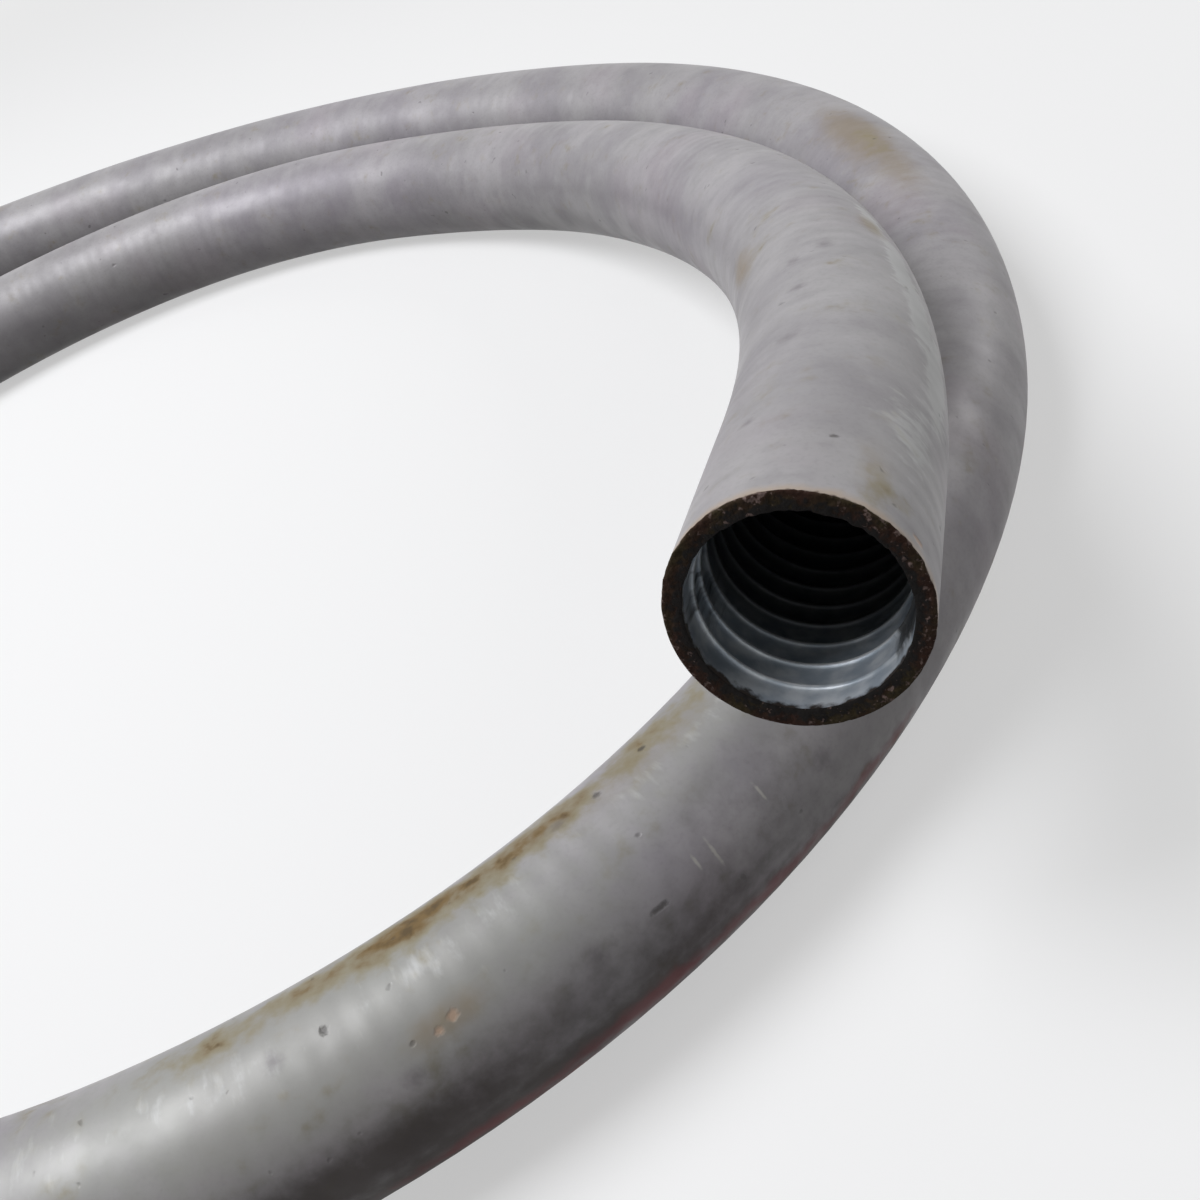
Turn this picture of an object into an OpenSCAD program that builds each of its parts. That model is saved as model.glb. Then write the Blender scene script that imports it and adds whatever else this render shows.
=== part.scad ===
// A corroded length of galvanised steel pipe, bent by hand into a loose coil of
// about one and a third turns. It lies on the floor. The tail end lies flat, and
// the other end, the mouth, is sprung up and crosses over the turn below it.
// Everything is in millimetres. The floor is z = 0, and the origin is on the
// floor under the middle of the coil's bounding box.

/* [Pipe] */
// Outside diameter of the pipe
od = 33.7; // [26:0.1:42]
// Thickness of the pipe's wall
wall = 2.6; // [1.5:0.1:5]
// Length of the pipe along its centreline, as it was sold
pipe_length = 2000; // [1700:10:2400]
// Straight stretch that the bender leaves at the mouth
mouth_straight = 40; // [20:1:120]
// Straight stretch that the bender leaves at the tail
tail_straight = 40; // [20:1:120]

/* [Bends] */
// Bend radius of the wide turn at the tail
tail_radius = 380; // [300:5:450]
// Bend radius at the back right of the coil
back_radius = 240; // [220:5:280]
// Bend radius at the front right, under the mouth
front_radius = 200; // [190:5:240]
// Bend radius where the pipe lifts off the floor
lift_radius = 215; // [180:5:260]
// Bend radius of the slack bend that leads to the mouth
mouth_radius = 350; // [300:5:420]
// Tilt of the bend that leads to the mouth
mouth_tilt = 10; // [8:0.5:16]

/* [Gaps between the turns] */
// Clear gap where the inner turn lifts off the floor beside the outer one
floor_gap = 16.5; // [12:0.5:24]
// How far the raised turn runs inside the turn below it, at the coil's right
side_step = 25.7; // [18:0.1:32]
// Clear gap where the raised turn passes over the turn below it
pass_gap = 4; // [2:0.5:8]

/* [Hidden] */

// Angles of the bends that the pipe's length leaves alone.
BACK_ANGLE = 61;
FRONT_ANGLE = 73;
LEFT_ANGLE = 116;
INNER_ANGLE = 96;
LIFT_ANGLE = 36;
MOUTH_ANGLE = 39;

// Headings of the pipe where each bend starts, turned left from +X. The first one
// sets how the coil lies on the floor. Each bend turns the pipe to the right.
BACK_HEADING = -39.4;
front_heading = BACK_HEADING - BACK_ANGLE;
left_heading = front_heading - FRONT_ANGLE;
inner_heading = left_heading - LEFT_ANGLE;
lift_heading = inner_heading - INNER_ANGLE;
mouth_heading = lift_heading - LIFT_ANGLE;

// How far a bend carries the pipe to the left of a way that it faces, as the pipe
// turns from one heading to another.
function carried(r, from, to, facing) = r * (cos(to - facing) - cos(from - facing));

// The left and inner bends close the coil. One row for each place where the turns
// run side by side: how far a millimetre of each radius carries the pipe there,
// and how far the two bends together have to.
SIDE = -90;
lift_side = lift_heading + 360;
function closing(facing, rest) = [
    carried(1, left_heading, inner_heading, facing),
    carried(1, inner_heading, lift_heading, facing),
    rest
];
at_lift = closing(
    lift_side,
    -(od + floor_gap)
        - carried(tail_radius, lift_side, BACK_HEADING, lift_side)
        - carried(back_radius, BACK_HEADING, front_heading, lift_side)
        - carried(front_radius, front_heading, left_heading, lift_side)
);
at_side = closing(
    SIDE,
    -side_step
        - carried(back_radius, SIDE, front_heading, SIDE)
        - carried(front_radius, front_heading, left_heading, SIDE)
        - carried(lift_radius, lift_heading, mouth_heading, SIDE)
        - carried(mouth_radius, mouth_heading, SIDE - 360, SIDE)
);
function pair(row, i, j) = [row[i], row[j]];
share = cross(pair(at_lift, 0, 1), pair(at_side, 0, 1));
left_radius = cross(pair(at_lift, 2, 1), pair(at_side, 2, 1)) / share;
inner_radius = cross(pair(at_lift, 0, 2), pair(at_side, 0, 2)) / share;

// The bender's table from the tail to the mouth: radius, angle and tilt of each
// bend. The tail's bend is as long as the rest leaves it.
function arc_length(bend) = bend[0] * bend[1] * PI / 180;
function total(values, i = 0) = i == len(values) ? 0 : values[i] + total(values, i + 1);
flat_bends = [
    [back_radius, BACK_ANGLE, 0],
    [front_radius, FRONT_ANGLE, 0],
    [left_radius, LEFT_ANGLE, 0],
    [inner_radius, INNER_ANGLE, 0],
];
function raised_bends(lift_tilt) = [
    [lift_radius, LIFT_ANGLE, lift_tilt],
    [mouth_radius, MOUTH_ANGLE, mouth_tilt],
];
tail_arc = pipe_length - mouth_straight - tail_straight
    - total([for (bend = concat(flat_bends, raised_bends(0))) arc_length(bend)]);
tail_bend = [tail_radius, tail_arc / tail_radius * 180 / PI, 0];

// Places along the pipe are 4 x 4 matrices: X along the pipe towards the mouth,
// Y to its left and Z to its upper side.
function shift(v) = [[1, 0, 0, v[0]], [0, 1, 0, v[1]], [0, 0, 1, v[2]], [0, 0, 0, 1]];
function turn(a) = [[cos(a), -sin(a), 0, 0], [sin(a), cos(a), 0, 0], [0, 0, 1, 0], [0, 0, 0, 1]];
function roll(a) = [[1, 0, 0, 0], [0, cos(a), -sin(a), 0], [0, sin(a), cos(a), 0], [0, 0, 0, 1]];

// The step along a bend of radius r by angle a, in a plane tilted up to the right.
function along_bend(r, a, tilt) =
    roll(-tilt) * shift([0, -r, 0]) * turn(-a) * shift([0, r, 0]) * roll(tilt);

// The places along a run of bends, from the place where it starts to its end, at
// most a step of degrees apart.
function places(place, bends, step, i = 0) =
    i == len(bends) ? [place] :
    let (bend = bends[i], steps = ceil(bend[1] / step))
    concat(
        [for (k = [0 : steps - 1]) place * along_bend(bend[0], bend[1] * k / steps, bend[2])],
        places(place * along_bend(bend[0], bend[1], bend[2]), bends, step, i + 1)
    );
function last(list) = list[len(list) - 1];

first_bend = turn(BACK_HEADING + tail_bend[1]);
lift_start = last(places(first_bend, concat([tail_bend], flat_bends), 360));

// The lift's tilt is the least that carries the raised turn clear over the turn
// below it. It is found by halving, with the turns probed at these steps.
PROBE_STEP = 2;
PROBE_RUN = 10;
STEEPEST_TILT = 30;
HALVINGS = 12;
function spots(run) = [for (place = run) [place[0][3], place[1][3], place[2][3]]];
lower_spots = spots(places(first_bend, [tail_bend, flat_bends[0], flat_bends[1]], PROBE_STEP));
function raised_spots(lift_tilt) =
    let (run = places(lift_start, raised_bends(lift_tilt), PROBE_STEP))
    concat(
        spots(run),
        spots([for (x = [0 : PROBE_RUN : mouth_straight]) last(run) * shift([x, 0, 0])])
    );
function clear_gap(lift_tilt) =
    min([for (up = raised_spots(lift_tilt)) for (low = lower_spots) norm(up - low)]) - od;
function tilt_between(low, high, tries = HALVINGS) =
    let (tilt = (low + high) / 2)
    tries == 0 ? tilt :
    clear_gap(tilt) < pass_gap
        ? tilt_between(tilt, high, tries - 1)
        : tilt_between(low, tilt, tries - 1);
lift_tilt = tilt_between(0, STEEPEST_TILT);

// The bent wall is drawn as flat-sided rings, this many sides round the pipe and
// at most this many degrees of bend apart. Its corners stand out just enough to
// give the wall its true section area.
SIDES = 24;
RING_STEP = 7;
corner_scale = sqrt((2 * PI / SIDES) / sin(360 / SIDES));
bore_r = od / 2 - wall;
// How far the bent wall runs into each straight end, so that they are one solid,
// and how deep it is let into the end's wall there.
LAP = 1;
LET_IN = 0.05;

bends = concat([tail_bend], flat_bends, raised_bends(lift_tilt));
bent_rings = places(first_bend, bends, RING_STEP);
last_bend = last(bent_rings);
between = [for (i = [1 : len(bent_rings) - 2]) bent_rings[i]];
rings = concat(
    [first_bend * shift([-LAP, 0, 0]), first_bend * shift([LAP, 0, 0])],
    between,
    [last_bend * shift([-LAP, 0, 0]), last_bend * shift([LAP, 0, 0])]
);

// The corner radius of each ring, outside and in the bore. The two rings at each
// end are let into the wall of the straight end.
function is_let_in(i) = i < 2 || i > len(rings) - 3;
function outer_corner(i) = is_let_in(i) ? od / 2 - LET_IN : od / 2 * corner_scale;
function bore_corner(i) =
    is_let_in(i) ? (bore_r + LET_IN) / cos(180 / SIDES) : bore_r * corner_scale;

// The corners of a flat-sided ring of radius r at a place along the pipe.
function corners(place, r) = [
    for (k = [0 : SIDES - 1])
        let (a = 360 * (k + 0.5) / SIDES, p = place * [0, r * cos(a), r * sin(a), 1])
        [p[0], p[1], p[2]]
];

// The quads between one ring of corners and the next, both starting at an index.
function band(a, b, flip) = [
    for (k = [0 : SIDES - 1])
        let (n = (k + 1) % SIDES)
        flip ? [a + k, b + k, b + n, a + n] : [a + k, a + n, b + n, b + k]
];

// The whole coil's box on the floor plan, with the centreline's extent at each end.
tail_end = first_bend * shift([-tail_straight, 0, 0]);
mouth_end = last_bend * shift([mouth_straight, 0, 0]);
outline = [for (place = concat([tail_end], bent_rings, [mouth_end])) each corners(place, od / 2)];
function middle(axis) = (min([for (p = outline) p[axis]]) + max([for (p = outline) p[axis]])) / 2;

// The section of the pipe.
module section() {
    difference() {
        circle(r = od / 2, $fn = 96);
        circle(r = bore_r, $fn = 96);
    }
}

// A straight stretch of pipe from a place along it towards the mouth.
module straight(place, length) {
    multmatrix(place)
        rotate([0, 90, 0])
            linear_extrude(length)
                section();
}

// The bent stretch of pipe, swept along all the bends.
module bent_wall() {
    count = len(rings);
    outer = [for (i = [0 : count - 1]) each corners(rings[i], outer_corner(i))];
    inner = [for (i = [0 : count - 1]) each corners(rings[i], bore_corner(i))];
    bore = len(outer);
    last = (count - 1) * SIDES;
    sides = [
        for (i = [0 : count - 2])
            each concat(
                band(i * SIDES, (i + 1) * SIDES, true),
                band(bore + i * SIDES, bore + (i + 1) * SIDES, false)
            )
    ];
    ends = concat(band(0, bore, false), band(last, bore + last, true));
    polyhedron(points = concat(outer, inner), faces = concat(sides, ends), convexity = 10);
}

// The whole pipe, one piece of steel with both ends sawn square.
module pipe() {
    color("silver")
        translate([-middle(0), -middle(1), od / 2]) {
            bent_wall();
            straight(tail_end, tail_straight);
            straight(last_bend, mouth_straight);
        }
}

pipe();
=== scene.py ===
"""Corroded galvanised steel pipe, bent by hand into a loose coil: its relief, finishes and studio.

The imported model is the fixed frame. The pipe is made here as a maker would make it: a straight
length first, with its ribbed bore and its two rough saw cuts, which is then bent along the same
bends as the frame's pipe. It is one closed mesh with three finishes: the zinc skin, the bore and
the rusted cuts. Lengths are in metres, but the wear's places and what a finish says of its
patterns and relief are in millimetres.
"""

from __future__ import annotations

import logging
import math
import random
from collections.abc import Sequence
from dataclasses import dataclass, field
from enum import Enum
from functools import partial
from typing import ClassVar

import bmesh
import bpy
from mathutils import Matrix, Vector, noise

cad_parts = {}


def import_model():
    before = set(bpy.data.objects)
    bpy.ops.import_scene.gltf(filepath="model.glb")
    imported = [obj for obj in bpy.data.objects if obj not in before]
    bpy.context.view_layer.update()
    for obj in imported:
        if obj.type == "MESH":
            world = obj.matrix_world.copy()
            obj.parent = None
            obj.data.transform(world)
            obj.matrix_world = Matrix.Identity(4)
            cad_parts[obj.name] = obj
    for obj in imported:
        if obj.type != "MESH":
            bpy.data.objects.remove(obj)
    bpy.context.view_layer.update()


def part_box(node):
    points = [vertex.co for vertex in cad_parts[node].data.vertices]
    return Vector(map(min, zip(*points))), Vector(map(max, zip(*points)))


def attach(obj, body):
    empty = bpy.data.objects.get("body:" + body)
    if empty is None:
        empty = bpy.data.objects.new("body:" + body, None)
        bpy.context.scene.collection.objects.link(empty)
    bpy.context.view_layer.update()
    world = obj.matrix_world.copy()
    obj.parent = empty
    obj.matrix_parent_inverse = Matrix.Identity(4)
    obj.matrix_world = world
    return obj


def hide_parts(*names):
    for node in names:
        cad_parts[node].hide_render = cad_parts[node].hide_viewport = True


log = logging.getLogger("coiled_pipe")

MM = 0.001
# How near two places along the pipe are that count as the same, how near two vertices are that
# become one, and how near a vertex is to a plane that trims the mesh there.
NEAR, DOUBLED, TRIMMED = 0.05 * MM, 0.02 * MM, 0.01 * MM
# More than the vertices of the mesh.
MANY = 200_000
NODE = "pipe"
ROUTE_UV = "along_and_round"
# The attribute that tells the skin, 0, from the bore, 1, and from the crests of its ribs.
WALL_DEPTH = "depth_in_wall"


class Surface(Enum):
    """The pipe's surfaces, numbered as its material slots."""

    SKIN = 0
    BORE = 1
    CUT = 2


class Stain(Enum):
    """What a stain is, and the mesh attribute that holds how strong it is."""

    OCHRE = "ochre_grime"
    TAN = "tan_film"
    GREEN = "greenish_film"
    # The chalky scuffs also paint a highlight along the mouth strand's right side.
    SCUFF_AND_HIGHLIGHT = "chalky_scuff"
    # The dark film also paints shade on the near strand's lower side and under the mouth strand.
    SOOT_AND_SHADE = "dark_film"
    # The red film also paints the reflection of a red thing along the near strand's lower edge.
    RED = "red_rust_film"
    # The bore's grime also paints shade on its far wall.
    BORE = "bore_grime"


class MarkKind(Enum):
    """The small marks on the skin."""

    PIT = "pit"
    SMUDGE = "smudge"
    CHIP = "chip"
    SCRATCH = "scratch"


# ---------------------------------------------------------------------------------------------
# Sizes and the bender's route


@dataclass(frozen=True)
class Bend:
    """One bend to the right: its radius, its angle in degrees and the tilt of its plane."""

    radius: float
    angle: float
    tilt: float = 0.0


@dataclass(frozen=True)
class PipeSize:
    """The sizes of the pipe."""

    outside: float = 33.7 * MM
    wall: float = 2.6 * MM
    length: float = 2000 * MM
    straight: float = 40 * MM

    @property
    def skin_radius(self) -> float:
        """Radius of the outside."""
        return self.outside / 2

    @property
    def bore_radius(self) -> float:
        """Radius of the bore, between its ribs."""
        return self.outside / 2 - self.wall


@dataclass
class Route:
    """The bends of the pipe from its tail to its mouth, as the frame's pipe has them."""

    size: PipeSize
    heading: float = 7.0
    tail_radius: float = 380 * MM
    later_bends: tuple[Bend, ...] = (
        Bend(240 * MM, 61),
        Bend(200 * MM, 73),
        Bend(215 * MM, 116),
        Bend(175 * MM, 96),
        Bend(215 * MM, 36, 13),
        Bend(350 * MM, 39, 10),
    )
    stretches: list[tuple[float, Matrix, Bend | None]] = field(default_factory=list)

    def __post_init__(self) -> None:
        """Lays the stretches end to end: a straight, the bends and a straight."""
        bent = self.size.length - 2 * self.size.straight
        later = sum(bend.radius * math.radians(bend.angle) for bend in self.later_bends)
        tail_bend = Bend(self.tail_radius, math.degrees((bent - later) / self.tail_radius))
        place = Matrix.Rotation(math.radians(self.heading), 4, "Z")
        place = place @ Matrix.Translation((-self.size.straight, 0, 0))
        start = 0.0
        for bend in (None, tail_bend, *self.later_bends, None):
            self.stretches.append((start, place, bend))
            run = self.size.straight if bend is None else bend.radius * math.radians(bend.angle)
            place = place @ self.step(bend, run)
            start += run

    @staticmethod
    def step(bend: Bend | None, run: float) -> Matrix:
        """The step from the start of a stretch to a distance along it.

        Args:
            bend: The bend, or None for a straight.
            run: The distance along the centreline.

        Returns:
            The step, with X along the pipe and Z towards its upper side.
        """
        if bend is None:
            return Matrix.Translation((run, 0, 0))
        tilt = Matrix.Rotation(math.radians(bend.tilt), 4, "X")
        turn = Matrix.Rotation(-run / bend.radius, 4, "Z")
        out = Matrix.Translation((0, -bend.radius, 0))
        return tilt.inverted() @ out @ turn @ out.inverted() @ tilt

    def place(self, distance: float) -> Matrix:
        """The pipe's place at a distance along its centreline.

        Args:
            distance: The distance from the tail.

        Returns:
            The place, with X along the pipe and Z towards its upper side.
        """
        start, place, bend = next(
            (stretch for stretch in reversed(self.stretches) if stretch[0] <= distance),
            self.stretches[0],
        )
        return place @ self.step(bend, distance - start)


# ---------------------------------------------------------------------------------------------
# The straight pipe, before it is bent


@dataclass(frozen=True)
class SawCut:
    """A rough saw cut across the pipe's end, and the finely made stretch behind it."""

    depth: float = 2.6 * MM
    sides: int = 240
    lip: float = 0.3 * MM
    lip_steps: int = 3
    face_steps: int = 6
    side_steps: int = 9
    # How far the bites of the saw run back and its burr stands out, how much of a bite is even,
    # coarse and fine, the sizes of the coarse and the fine, and how soon it all fades.
    raggedness: float = 0.34 * MM
    burr: float = 0.16 * MM
    shares: tuple[float, float, float] = (0.45, 0.9, 0.7)
    coarse_size: float = 2.6 * MM
    fine_size: float = 0.8 * MM
    fade: float = 0.9 * MM


@dataclass(frozen=True)
class Ribs:
    """The ribs that run round the bore on a screw line."""

    pitch: float = 5.0 * MM
    reach: float = 180 * MM
    # How far the screw line starts before the ribbed stretch, and over what length the ribs
    # rise to their full height at each end of it.
    lead: float = 11.7 * MM
    fade: float = 2.0 * MM
    # Where each point of one rib lies along its pitch, and how far it stands into the bore.
    profile: tuple[tuple[float, float], ...] = (
        (0.0, 0.0),
        (0.50, 0.04 * MM),
        (0.78, 0.12 * MM),
        (0.84, 0.44 * MM),
        (0.90, 0.52 * MM),
        (0.96, 0.34 * MM),
    )


@dataclass
class StraightPipe:
    """A straight pipe along X, from its tail at 0 to its mouth."""

    size: PipeSize
    cut: SawCut = field(default_factory=SawCut)
    ribs: Ribs = field(default_factory=Ribs)
    sides: int = 80
    skin_step: float = 6 * MM
    # The width of the bands that join its stretches.
    gap: float = 0.8 * MM
    bore_step: float = 14 * MM

    def build(self) -> bmesh.types.BMesh:
        """Makes the whole straight pipe as one closed mesh.

        Returns:
            The mesh.
        """
        bm = bmesh.new()
        size, length = self.size, self.size.length
        behind_cut = self.cut.depth + self.gap
        reach, plain = self.ribs.reach, self.ribs.reach + self.gap
        self.sawn_end(bm, 0.0, 1)
        self.sawn_end(bm, length, -1)
        self.tube(bm, behind_cut, length - behind_cut, size.skin_radius, self.skin_step)
        self.ribbed_bore(bm, behind_cut, reach)
        self.ribbed_bore(bm, length - reach, length - behind_cut)
        self.tube(bm, plain, length - plain, size.bore_radius, self.bore_step)
        for at in (behind_cut, length - self.cut.depth):
            self.join(bm, at, size.skin_radius)
            self.join(bm, at, size.bore_radius)
        for at in (plain, length - reach):
            self.join(bm, at, size.bore_radius)
        bmesh.ops.recalc_face_normals(bm, faces=bm.faces)
        bm.verts.index_update()
        bm.faces.sort(key=self.rank)
        return bm

    @staticmethod
    def rank(face: bmesh.types.BMFace) -> float:
        """Where a face comes in the mesh, which the operators leave open and each run keeps alike.

        Args:
            face: The face.

        Returns:
            A number made of its three lowest corners.
        """
        first, second, third = sorted(vert.index for vert in face.verts)[:3]
        return (first * MANY + second) * MANY + third

    def sawn_end(self, bm: bmesh.types.BMesh, at: float, inward: int) -> None:
        """Spins the profile of a sawn end round the pipe's axis.

        Args:
            bm: The mesh to add it to.
            at: Where the cut is along the pipe.
            inward: 1 where the pipe runs on towards the mouth, -1 where it runs towards the tail.
        """
        points = self.cut_profile()
        verts = [bm.verts.new((at + inward * back, 0, radius)) for back, radius in points]
        edges = [bm.edges.new(pair) for pair in zip(verts, verts[1:])]
        bmesh.ops.spin(
            bm,
            geom=[*verts, *edges],
            cent=(0, 0, 0),
            axis=(1, 0, 0),
            dvec=(0, 0, 0),
            angle=math.tau,
            steps=self.cut.sides,
            use_merge=True,
        )

    def cut_profile(self) -> list[tuple[float, float]]:
        """The section of a sawn end, from the skin over its two lips to the bore.

        Returns:
            Pairs of how far a point lies behind the cut and its radius.
        """
        cut, size = self.cut, self.size
        run = [
            cut.lip + (cut.depth - cut.lip) * (1 - step / cut.side_steps) ** 2
            for step in range(cut.side_steps + 1)
        ]
        turns = [math.radians(90) * step / cut.lip_steps for step in range(1, cut.lip_steps + 1)]
        round_lip = [(cut.lip * (1 - math.sin(a)), cut.lip * (1 - math.cos(a))) for a in turns]
        skin = [(back, size.skin_radius) for back in run]
        skin += [(back, size.skin_radius - inset) for back, inset in round_lip]
        bore = [(back, size.bore_radius + size.skin_radius - radius) for back, radius in skin]
        width = size.wall - 2 * cut.lip
        face = [
            (0.0, size.skin_radius - cut.lip - width * step / cut.face_steps)
            for step in range(1, cut.face_steps)
        ]
        return [*skin, *face, *reversed(bore)]

    def tube(
        self, bm: bmesh.types.BMesh, start: float, end: float, radius: float, step: float
    ) -> None:
        """Makes a plain tube and divides it into rings.

        Args:
            bm: The mesh to add it to.
            start: Where the tube starts along the pipe.
            end: Where it ends.
            radius: Its radius.
            step: About how far apart its rings are.
        """
        upright = Matrix.Rotation(math.radians(90), 4, "Y")
        ends = bmesh.ops.create_cone(
            bm,
            cap_ends=False,
            segments=self.sides,
            radius1=radius,
            radius2=radius,
            depth=end - start,
            matrix=Matrix.Translation(((start + end) / 2, 0, 0)) @ upright,
        )["verts"]
        lengthways = [
            edge
            for vert in ends
            for edge in vert.link_edges
            if edge.other_vert(vert).co.x - vert.co.x > step
        ]
        rings = round((end - start) / step)
        bmesh.ops.subdivide_edges(bm, edges=lengthways, cuts=rings - 1)

    def ribbed_bore(self, bm: bmesh.types.BMesh, start: float, end: float) -> None:
        """Winds the ribs of the bore on a screw line, trims them square and fades their ends.

        Args:
            bm: The mesh to add them to.
            start: Where the ribbed stretch starts along the pipe.
            end: Where it ends.
        """
        ribs, turn = self.ribs, bmesh.new()
        radius = self.size.bore_radius
        outline = [*ribs.profile, (1.0, 0.0)]
        first = start - ribs.lead
        verts = [turn.verts.new((first + x * ribs.pitch, 0, radius - rise)) for x, rise in outline]
        edges = [turn.edges.new(pair) for pair in zip(verts, verts[1:])]
        bmesh.ops.spin(
            turn,
            geom=[*verts, *edges],
            cent=(0, 0, 0),
            axis=(1, 0, 0),
            dvec=(ribs.pitch / self.sides, 0, 0),
            angle=math.tau,
            steps=self.sides,
        )
        bmesh.ops.spin(
            turn,
            geom=[*turn.verts, *turn.edges, *turn.faces],
            cent=(0, 0, 0),
            axis=(1, 0, 0),
            dvec=(ribs.pitch, 0, 0),
            angle=0,
            steps=math.ceil((end - start + ribs.lead) / ribs.pitch) + 1,
            use_duplicate=True,
        )
        bmesh.ops.remove_doubles(turn, verts=turn.verts, dist=DOUBLED)
        for at, side in ((start, -1), (end, 1)):
            bmesh.ops.bisect_plane(
                turn,
                geom=[*turn.verts, *turn.edges, *turn.faces],
                dist=TRIMMED,
                plane_co=(at, 0, 0),
                plane_no=(side, 0, 0),
                clear_outer=True,
            )
            self.even_out(turn, at)
        for vert in turn.verts:
            risen = min(max(min(vert.co.x - start, end - vert.co.x) / ribs.fade, 0.0), 1.0)
            away = math.hypot(vert.co.y, vert.co.z)
            share = (radius - (radius - away) * risen) / away
            vert.co.y, vert.co.z = vert.co.y * share, vert.co.z * share
        piece = bpy.data.meshes.new("ribs")
        turn.to_mesh(piece)
        turn.free()
        bm.from_mesh(piece)
        bpy.data.meshes.remove(piece)

    def even_out(self, bm: bmesh.types.BMesh, at: float) -> None:
        """Dissolves the corners of a trimmed edge that lie between the pipe's sides.

        Args:
            bm: The mesh that was trimmed.
            at: Where it was trimmed along the pipe.
        """

        def is_off_sides(vert: bmesh.types.BMVert) -> bool:
            """Whether a vertex lies more than a fiftieth of a side from the nearest corner."""
            sides = math.atan2(vert.co.y, vert.co.z) / math.tau * self.sides
            return abs(sides - round(sides)) > 1 / 50

        edge = [vert for vert in bm.verts if vert.is_boundary and abs(vert.co.x - at) < NEAR]
        bmesh.ops.dissolve_verts(bm, verts=[vert for vert in edge if is_off_sides(vert)])

    def join(self, bm: bmesh.types.BMesh, at: float, radius: float) -> None:
        """Bridges the gap between two open loops.

        Args:
            bm: The mesh that holds them.
            at: Where the gap ends along the pipe.
            radius: Their rough radius, which tells the skin from the bore.
        """

        def is_here(vert: bmesh.types.BMVert) -> bool:
            """Whether a vertex lies on one of the loops."""
            off_radius = abs(math.hypot(vert.co.y, vert.co.z) - radius)
            return -NEAR < at - vert.co.x < self.gap + NEAR and off_radius < self.size.wall / 2

        edges = [edge for edge in bm.edges if edge.is_boundary and all(map(is_here, edge.verts))]
        bmesh.ops.bridge_loops(bm, edges=edges)


# ---------------------------------------------------------------------------------------------
# Wear and some painted light and shade, in places on the pipe: millimetres from its tail, and
# degrees round it from its left side


@dataclass(frozen=True)
class StainPatch:
    """A soft-edged stain: where its middle is, its half length, half width and strength."""

    # How many half lengths away from its middle it has faded out.
    faded: ClassVar[float] = 2.5
    kind: Stain
    along: float
    round: float
    length: float
    width: float
    strength: float = 1.0


@dataclass(frozen=True)
class ScatteredStains:
    """Stains drawn at random: their kinds, how many, from where to where, and how far round."""

    kinds: tuple[Stain, ...]
    count: int
    start: float
    end: float
    round: float
    spread: float


WEATHERED = (Stain.OCHRE, Stain.OCHRE, Stain.TAN, Stain.SCUFF_AND_HIGHLIGHT)
GROUND_DIRT = (Stain.SOOT_AND_SHADE, Stain.TAN, Stain.SOOT_AND_SHADE, Stain.OCHRE, Stain.RED)


@dataclass(frozen=True)
class Mark:
    """A small mark: where its middle is, its half length and its half width in millimetres."""

    kind: MarkKind
    along: float
    round: float
    length: float
    width: float


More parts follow.
